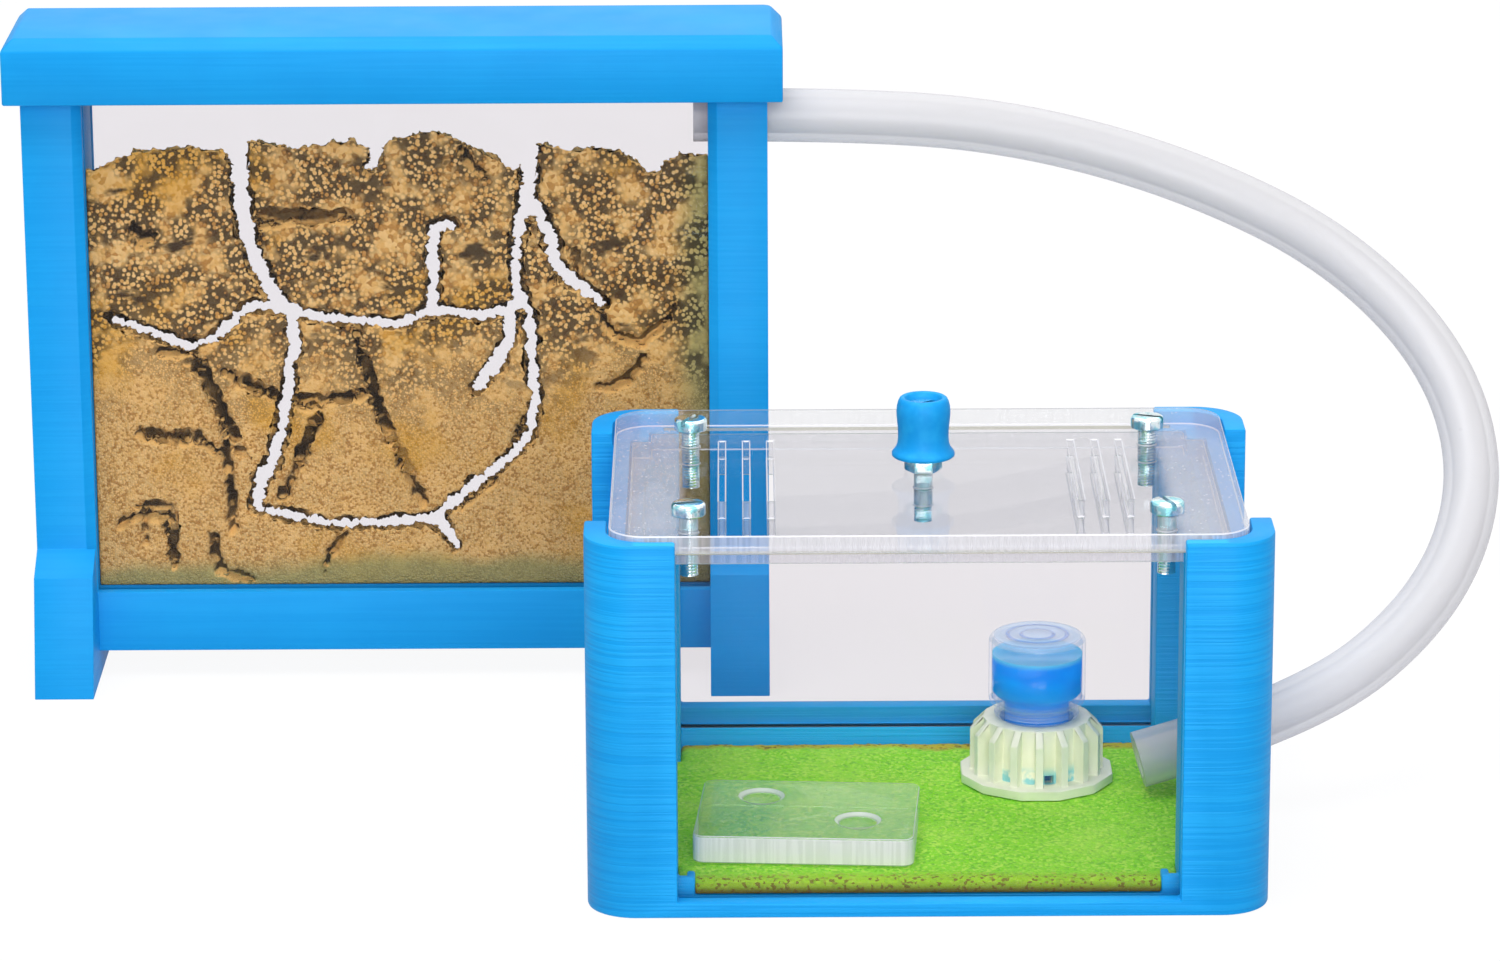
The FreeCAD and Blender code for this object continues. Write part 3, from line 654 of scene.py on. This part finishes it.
def lidKnob():
    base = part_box("lid_knob")[0].z / mm
    made = lathe("lidKnob", [(r, base + z) for r, z in knob["profile"]], lidMiddle)
    made.data.set_sharp_from_angle(angle=math.radians(knob["crease"]))
    return made


def knobScrew():
    made = screwPiece("knobScrew", screw["knobLength"])
    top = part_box("knob_screw")[1].z
    made.data.transform(Matrix.Translation((lidMiddle.x, lidMiddle.y, top - screw["height"] * mm))
                        @ Matrix.Rotation(math.radians(screw["knobTurn"]), 4, "Z"))
    return made


dress(lidKnob(), blueRubber, "arena_lid", "blue_rubber", "lid_knob")
dress(soften(cadCopy("knob_nut", "knobNut"), nutBevel), zincMetal, "arena_lid", "zinc_screw", "knob_nut")
dress(knobScrew(), zincMetal, "arena_lid", "zinc_screw", "knob_screw")
dress(lidScrews(), zincMetal, "arena_lid", "zinc_screw", "lid_screws")
print("knob and screws made")


# Feeder: finned base, bottle and water

feeder = {"colour": srgb(246, 247, 222), "shade": srgb(228, 234, 202), "shadeShare": 0.5,
          "waterGlow": srgb(70, 200, 214), "waterGlowShare": 0.75, "waterGlowWithin": (9.05, 9.3), "waterGlowBelow": (7.2, 9.4),
          "rough": (0.38, 0.15), "grain": (0.25, 0.05), "edge": 0.22}
# rim is the painted light at the bottle's edges, and also the colour of the rings on its end
bottle = {"radius": 8.15, "wall": 0.5, "round": 1.3, "neck": 6.0, "ring": 7.2, "ringThick": 1.7,
          "shoulder": 1.2, "sides": 96, "tint": srgb(252, 253, 255), "shine": 0.008, "mirror": 0.3,
          "gloss": 0.03, "rim": srgb(64, 134, 232), "pale": srgb(206, 230, 252), "rough": (0.15, 0.01),
          "cap": 0.5, "capDeep": 0.8, "turned": 0.28, "upright": 0.4, "ringShare": 0.7,
          "rings": ((4.5, 4.8, 5.2, 5.5), (2.3, 2.6, 2.9, 3.2))}
# glow: strength of the water's painted glow
water = {"gap": 0.06, "depth": 7.0, "colour": srgb(0, 150, 240), "deep": srgb(0, 132, 228),
         "skin": srgb(104, 204, 228), "skinShare": 0.8, "skinFrom": (-1.2, -0.1), "rough": (0.1, 0.05),
         "bend": 1.33, "glow": 0.3, "sheen": 0.3}


def feederShader(graph, look):                     # ivory, with a teal glow painted low in its cup, standing in for the blue water seen through its slots
    x, y, z = graph.axes(graph.place())
    mottle = graph.cloud(graph.place(), 0.4, 3.0).between(0.3, 0.75)
    grain = graph.cloud(graph.place((1, 1, 3)), 1.6, 2.0)
    middle = middleOf("feeder_base") / mm
    reach = ((x - middle.x) ** 2 + (y - middle.y) ** 2) ** 0.5
    # painted light: a mottled teal glow low inside the cup, for the water showing through
    waterGlow = (1 - reach.between(*look["waterGlowWithin"])) * (1 - z.between(*look["waterGlowBelow"]))
    waterGlow = waterGlow * mottle.between(0.1, 0.5)
    colour = graph.layered(look["colour"], look, (mottle * look["shadeShare"], "shade"),
                           (waterGlow * look["waterGlowShare"], "waterGlow"))
    return graph.surface({"Base Color": colour, "Roughness": graph.rough(grain, look),
                          "Normal": graph.bump(grain, *look["grain"])})


def bottleShader(graph, look):                     # clear, with painted light on its rim, blue where its wall turns from the eye, and two blue rings on its end
    middle, top = middleOf("feeder_bottle"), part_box("feeder_bottle")[1].z
    x, y, z = graph.axes(graph.place(middle=(middle.x / mm, middle.y / mm, top / mm)))
    reach = (x ** 2 + y ** 2) ** 0.5
    flat, steep = abs(graph.normal()[2]), graph.facing()
    outer, inner = [reach.between(*ring[:2]) * (1 - reach.between(*ring[2:])) for ring in look["rings"]]
    cap = flat.between(0.85, 0.97) * (z + look["capDeep"]).between(0, 0.4)
    # painted light: where the upright wall turns from the eye it turns blue and partly milky
    wall = steep.between(0.78, 0.97) * (1 - flat.between(0.3, 0.6))
    turned = flat.between(0.2, 0.45) * (1 - flat.between(0.8, 0.97))
    colour = graph.blend(((outer + inner) * look["ringShare"]).most(wall), look["pale"], look["rim"])
    skin = graph.surface({"Base Color": colour, "Roughness": graph.rough(reach, look)})
    veil = (turned * look["turned"]).most(cap * look["cap"]).most(wall * look["upright"])
    return graph.mixed(veil, graph.clear(look), skin)


def waterShader(graph, look):
    z = graph.axes(graph.place(middle=(0, 0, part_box("feeder_water")[1].z / mm)))[2]
    wave = graph.cloud(graph.place((0.3, 0.3, 1)), 0.5).between(0.3, 0.7)
    colour = graph.layered(look["colour"], look, (wave, "deep"),
                           (z.between(*look["skinFrom"]) * look["skinShare"], "skin"))
    # painted light: the water gives off its own colour as light, though it is no lamp
    return graph.surface({"Base Color": colour, "Roughness": graph.rough(wave, look), "IOR": look["bend"],
                          "Emission Color": colour, "Emission Strength": look["glow"],
                          "Specular IOR Level": look["sheen"]})


def feederBottle():
    low, high = (corner.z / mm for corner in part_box("feeder_bottle"))
    r, wall, turn, neck, ring = (bottle[key] for key in ("radius", "wall", "round", "neck", "ring"))
    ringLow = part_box("feeder_base")[1].z / mm
    shoulderLow = ringLow + bottle["ringThick"]
    shoulderTop = shoulderLow + bottle["shoulder"]
    profile = [(neck, low), (neck, ringLow - 0.2), (neck + 0.5, ringLow),
               *arcPoints((ring - 0.5, ringLow + 0.7), 0.5, -60, 60, 4),
               (neck + 0.2, shoulderLow - 0.5), (neck + 0.3, shoulderLow), (neck + 1.1, shoulderLow + 0.5),
               *arcPoints((r - 1.2, shoulderTop + 0.5), 1.2, -55, 0, 4),
               *arcPoints((r - turn, high - turn), turn, 0, 90, 6), (5.4, high), (5.2, high - 0.18),
               (4.9, high), (3.2, high), (3.0, high - 0.15), (2.7, high), (0, high),
               (0, high - wall), (5.0, high - wall),
               *arcPoints((r - wall - 1, high - wall - 1), 1.0, 90, 0, 4),
               (r - wall, shoulderTop + 0.5), (r - wall - 0.6, shoulderTop - 0.3),
               (neck - wall, shoulderLow), (neck - wall, low), (neck, low)]
    return lathe("feederBottle", profile, middleOf("feeder_bottle"), bottle["sides"])


def feederWater():
    low, high = (corner.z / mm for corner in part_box("feeder_water"))
    inner, neck = (bottle[key] - bottle["wall"] - water["gap"] for key in ("radius", "neck"))
    fill = high - water["depth"]
    profile = [(0, low), (neck, low), (neck, fill - bottle["shoulder"]), (inner - 0.6, fill - 0.3),
               (inner, fill + 0.5), (inner, high - 0.1), (inner - 0.25, high - 0.25), (0, high - 0.3)]
    return lathe("feederWater", profile, middleOf("feeder_water"), bottle["sides"])


ivoryPlastic = material("ivoryPlastic", feederShader, feeder)
bottlePlastic = material("bottlePlastic", bottleShader, bottle)
blueWater = material("blueWater", waterShader, water)
base = soften(cadCopy("feeder_base", "feederBase", joinFlats=False), feeder["edge"])
dress(base, ivoryPlastic, "feeder", "white_plastic", "feeder_base")
dress(feederBottle(), bottlePlastic, "bottle", "bottle_plastic", "feeder_bottle")
dress(feederWater(), blueWater, "bottle", "blue_water", "feeder_water")
print("feeder made")


# Golden sand of the nest, pressed between its glasses, and green sand of the arena

# dark is the grain gaps' colour and also the painted shade inside the slab; top is painted light for upward faces
nestGrit = {"voxel": 0.58, "ragged": 1.7, "wider": 0.6, "border": 0.8, "gap": 0.08, "fall": 0.45,
            "column": 1.2, "crest": 5, "groove": 0.9, "grooveDeep": 2.4, "grooveLoose": 0.8,
            "grooveEdge": 0.6, "upper": (58.0, 80.0), "waver": 30, "cells": (1.25, 2.6),
            "light": srgb(248, 208, 138), "tan": srgb(228, 174, 88), "brown": srgb(176, 122, 58),
            "gold": srgb(232, 172, 44), "dark": srgb(24, 18, 13), "moss": srgb(160, 164, 104),
            "top": srgb(255, 206, 122), "rough": (0.85, 0.1), "grain": (0.7, 0.35),
            "crumbs": {"Size": 0.55 * mm, "Density": 3.5e5, "Steepest": 0.75, "Seed": 4}}
arenaGrit = {"voxel": 0.75, "lump": 0.35, "lumpsAbove": 0.6, "cells": 1.9,
             "green": srgb(142, 226, 36), "light": srgb(200, 242, 92), "shade": srgb(100, 186, 30),
             "gold": srgb(204, 176, 44), "brown": srgb(110, 86, 34), "olive": srgb(128, 142, 40),
             "rough": (0.75, 0.15), "grain": (0.5, 0.2),
             "crumbs": {"Size": 0.24 * mm, "Density": 3.2e5, "Steepest": 0.6, "Seed": 9}}
grainShape = {"least": (0.5, 0.5, 0.4), "most": (1.2, 1.2, 0.8), "turn": (0, 0, 6.28)}


def placesOf(mesh, kind="co"):
    flat = np.empty(len(mesh.vertices) * 3)
    mesh.vertices.foreach_get(kind, flat)
    return flat.reshape(-1, 3)


blindRoutes = [      # x and z in mm of galleries that end inside the slab, seen as dark grooves in its face
    [(-81.4, 60), (-76.7, 58.9), (-73.7, 56.5), (-72.5, 51.5), (-70.1, 45.7), (-69.9, 40), (-69.6, 32.8),
     (-69.4, 26.3)],
    [(-85.4, 44.4), (-82.7, 43.2), (-77.8, 43.5), (-74.4, 42.9), (-70.4, 39.7)],
    [(-69.9, 55.7), (-65.9, 52.9), (-61.1, 51.1)],
    [(-58.4, 50.7), (-55, 48.8), (-50.1, 50.6), (-43.2, 52)],
    [(-46.4, 62.7), (-45.6, 57), (-43.9, 52.7), (-42.7, 47), (-39.6, 39.8), (-35.1, 31.2)],
    [(-53.4, 47.1), (-55.9, 41.1), (-58.8, 34.9), (-61, 30.3)],
    [(-63.7, 82.5), (-57.5, 83.5), (-51.4, 84), (-46.6, 83.3)],
    [(-89.4, 27.6), (-85.9, 29.2), (-81, 28.6), (-80.5, 24.2), (-80.5, 19)],
    [(-85.5, 28.6), (-85.1, 24.2)],
    [(-49.1, 25.5), (-51.4, 22.6), (-52.9, 19.7)],
    [(-16.3, 47.3), (-18.7, 40.9), (-22.9, 35.5), (-28.2, 30.3)],
    [(-72.9, 25.3), (-72.3, 19), (-66.2, 16.9)],
    [(-4.6, 68.2), (-0.6, 62.5), (4.2, 60.3), (10.4, 66.7)],
    [(4.9, 58.2), (1.4, 53.2), (-3.4, 52.5)],
    [(-85.5, 82.6), (-84.6, 79.3), (-81.8, 81.2)],
    [(-27.3, 96.6), (-25, 93.3), (-23.1, 91)],
    [(-11.4, 72.1), (-7.5, 73.8), (-7, 77.3)],
]


def carve(places, front):                          # presses the blind routes into the slab's front face
    rows = places[:, 1] < front + 0.5 * mm
    spots = places[rows][:, [0, 2]] / mm
    nearest = np.full(len(spots), np.inf)
    for route in blindRoutes:
        for start, end in zip(np.array(route), np.array(route[1:])):
            along = end - start
            share = ((spots - start) @ along / (along @ along)).clip(0, 1)
            nearest = np.minimum(nearest, np.linalg.norm(spots - start - share[:, None] * along, axis=1))
    loose = np.array([noise.noise(Vector((x, 3, z)) * 0.5) + noise.noise(Vector((x, 9, z)) * 1.3)
                      for x, z in spots])
    within = nestGrit["groove"] - nearest + loose * nestGrit["grooveLoose"]
    places[rows, 1] += (within / nestGrit["grooveEdge"]).clip(0, 1) * nestGrit["grooveDeep"] * mm


def putBack(piece, places):
    piece.data.vertices.foreach_set("co", places.ravel())
    piece.data.update()
    return piece


def nestSand():                                    # torn at its galleries, and its top falls to the rear
    piece = remeshed(cadCopy("nest_sand", "nestSand"), nestGrit["voxel"])
    low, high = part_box("nest_sand")
    places, outward = placesOf(piece.data), placesOf(piece.data, "normal")
    torn = np.array([noise.noise(spot * 0.55) * 0.8 + noise.noise(spot * 1.7 + Vector((7, 3, 5))) * 0.6
                     for spot in map(Vector, places / mm)]) * nestGrit["ragged"] - nestGrit["wider"]
    inside = np.minimum(np.minimum(places[:, 0] - low.x, high.x - places[:, 0]), places[:, 2] - low.z) / mm
    torn[inside < nestGrit["border"]] = 0
    places[:, 0] += outward[:, 0] * torn * mm
    places[:, 2] += outward[:, 2] * torn * mm
    gap = nestGrit["gap"] * mm
    places[:, 1] = places[:, 1].clip(low.y + gap, high.y - gap)
    columns = ((places[:, 0] - low.x) / (nestGrit["column"] * mm)).astype(int).clip(0)
    crest = np.full(columns.max() + 1, low.z)
    np.maximum.at(crest, columns, places[:, 2])
    nearTop = 1 + ((places[:, 2] - crest[columns]) / (nestGrit["crest"] * mm)).clip(-1, 0)
    places[:, 2] -= (places[:, 1] - low.y) * nestGrit["fall"] * nearTop
    places[:, 2] = places[:, 2].clip(low.z, high.z)
    carve(places, low.y)
    return putBack(piece, places)


def nestSandShader(graph, look):                   # coarse and dark above, fine and pale below, painted shade inside, painted light on its upward faces
    low, high = (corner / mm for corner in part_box("nest_sand"))
    here = graph.place()
    x, y, z = graph.axes(here)
    warp = graph.cloud(here, 0.05, 2.0)
    upper = (z + warp * look["waver"]).between(*look["upper"])
    coarse, fine = [graph.cells(here, size) for size in look["cells"]]
    shades = [graph.axes(graph.cells(here, size, "Color"))[0] for size in look["cells"]]
    pick = shades[0] * upper + shades[1] * (1 - upper)
    distance = coarse * upper + fine * (1 - upper)
    crowd = graph.cloud(here, 0.16, 3.0)
    gaps = distance.between(0.4, 0.52) * (crowd.between(0.36, 0.54) * (upper * 0.75 + 0.2))
    blots = graph.cloud(graph.place((0.7, 0.7, 1.5), (12, 0, 4)), 0.13, 4.0).between(0.63, 0.7) * upper
    golden = graph.cloud(here, 0.055, 3.0).between(0.5, 0.68)
    right = (x + warp * 14).between(high.x - 1.5, high.x + 6)
    bottom = 1 - (z - warp * 10).between(low.z - 3, low.z + 1.5)
    slope = graph.normal()[2]
    # painted shade: points inside the slab, away from both glasses, darken towards the dark colour, except on
    # upward faces
    deep = (y - low.y).least(high.y - y).between(0.15, 1.5) * (crowd.between(0.35, 0.6) * 0.2 + 0.76)
    colour = graph.layered(graph.blend(pick, look["tan"], look["light"]), look,
                           ((1 - pick.between(0.1, 0.35)) * 0.7, "brown"), (golden * 0.6, "gold"),
                           (right.most(bottom) * 0.75, "moss"), (gaps.most(blots) * 0.92, "dark"),
                           (deep * (1 - slope.between(0.1, 0.4)), "dark"),
                           # painted light: upward faces, shaded by the roof, are lightened with the top colour
                           (slope.between(0.25, 0.6) * 0.85, "top"))
    return graph.surface({"Base Color": colour, "Roughness": graph.rough(pick, look),
                          "Normal": graph.bump(1 - distance, *look["grain"])})


def arenaSand():
    piece = remeshed(cadCopy("arena_sand", "arenaSand"), arenaGrit["voxel"])
    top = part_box("arena_sand")[1].z
    places = placesOf(piece.data)
    lumps = np.array([noise.noise(spot * 0.35) * 0.5 + noise.noise(spot * 0.9) * 0.5 - 0.55
                      for spot in map(Vector, places / mm)]) * arenaGrit["lump"] * mm
    upper = places[:, 2] > top - arenaGrit["lumpsAbove"] * mm
    places[upper, 2] = (places[:, 2] + lumps)[upper].clip(None, top)
    return putBack(piece, places)


def grainsOn(piece, name, sizes, finish):          # loose grains scattered over its upper side
    tree = Growth(name, sizes)
    tilt = tree.axes(tree.node("GeometryNodeInputNormal"))[2]
    spots = tree.node("GeometryNodeDistributePointsOnFaces", None, {
        "Mesh": tree.given("Geometry"), "Selection": tilt.maths("GREATER_THAN", tree.given("Steepest")),
        "Density": tree.given("Density"), "Seed": tree.given("Seed")}, "Points")
    stone = tree.node("GeometryNodeMeshIcoSphere", None, {"Radius": tree.given("Size"), "Subdivisions": 1},
                      "Mesh")
    scales, turns = [tree.node("FunctionNodeRandomValue", {"data_type": "FLOAT_VECTOR"},
                               {0: least, 1: most, "Seed": tree.given("Seed")}, 0)
                     for least, most in ((grainShape["least"], grainShape["most"]),
                                         ((0, 0, 0), grainShape["turn"]))]
    placed = tree.node("GeometryNodeInstanceOnPoints", None, {
        "Points": spots, "Instance": stone, "Scale": scales, "Rotation": turns})
    ground = meshPiece(name, [v.co for v in piece.data.vertices], [tuple(f.vertices) for f in piece.data.polygons])
    return tree.grow(ground, placed, finish)


def arenaSandShader(graph, look):                  # bright green, turning gold at its borders, olive on its front face and brown at that face's foot
    low, high = (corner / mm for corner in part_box("arena_sand"))
    here = graph.place()
    x, y, z = graph.axes(here)
    cell = graph.cells(here, look["cells"])
    pick = graph.axes(graph.cells(here, look["cells"], "Color"))[1]
    patch = graph.cloud(here, 0.07, 3.0)
    front = 1 - (y - low.y + patch * 6).between(4.5, 8.0)
    rear = 1 - (high.y - y + patch * 7).between(6.0, 8.0)
    left = 1 - (x - low.x + patch * 7).between(4.5, 7.5)
    face = 1 - (y - low.y).between(0.15, 0.5)
    foot = 1 - (z - low.z).between(0.5, 1.5)
    colour = graph.layered(look["green"], look, (pick.between(0.55, 1.0) * 0.8, "light"),
                           ((1 - pick.between(0.0, 0.3)) * 0.7, "shade"),
                           (patch.between(0.45, 0.75) * 0.35, "light"),
                           ((front * 0.25).most(rear * 0.9).most(left * 0.7), "gold"),
                           (face * 0.4, "olive"), (face * foot * 0.85, "brown"),
                           (pick.between(0.8, 0.86) * front.most(rear) * 0.8, "brown"))
    return graph.surface({"Base Color": colour, "Roughness": graph.rough(pick, look),
                          "Normal": graph.bump(1 - cell, *look["grain"])})


greenSand = material("greenSand", arenaSandShader, arenaGrit)
goldenSand = material("goldenSand", nestSandShader, nestGrit)
slab, bed = nestSand(), arenaSand()
dress(grainsOn(slab, "nestCrumbs", nestGrit["crumbs"], goldenSand), goldenSand, "habitat", "golden_sand")
dress(grainsOn(bed, "arenaGrains", arenaGrit["crumbs"], greenSand), greenSand, "habitat", "green_sand")
dress(slab, goldenSand, "habitat", "golden_sand", "nest_sand")
dress(bed, greenSand, "habitat", "green_sand", "arena_sand")
print("sands made")


bpy.context.view_layer.update()
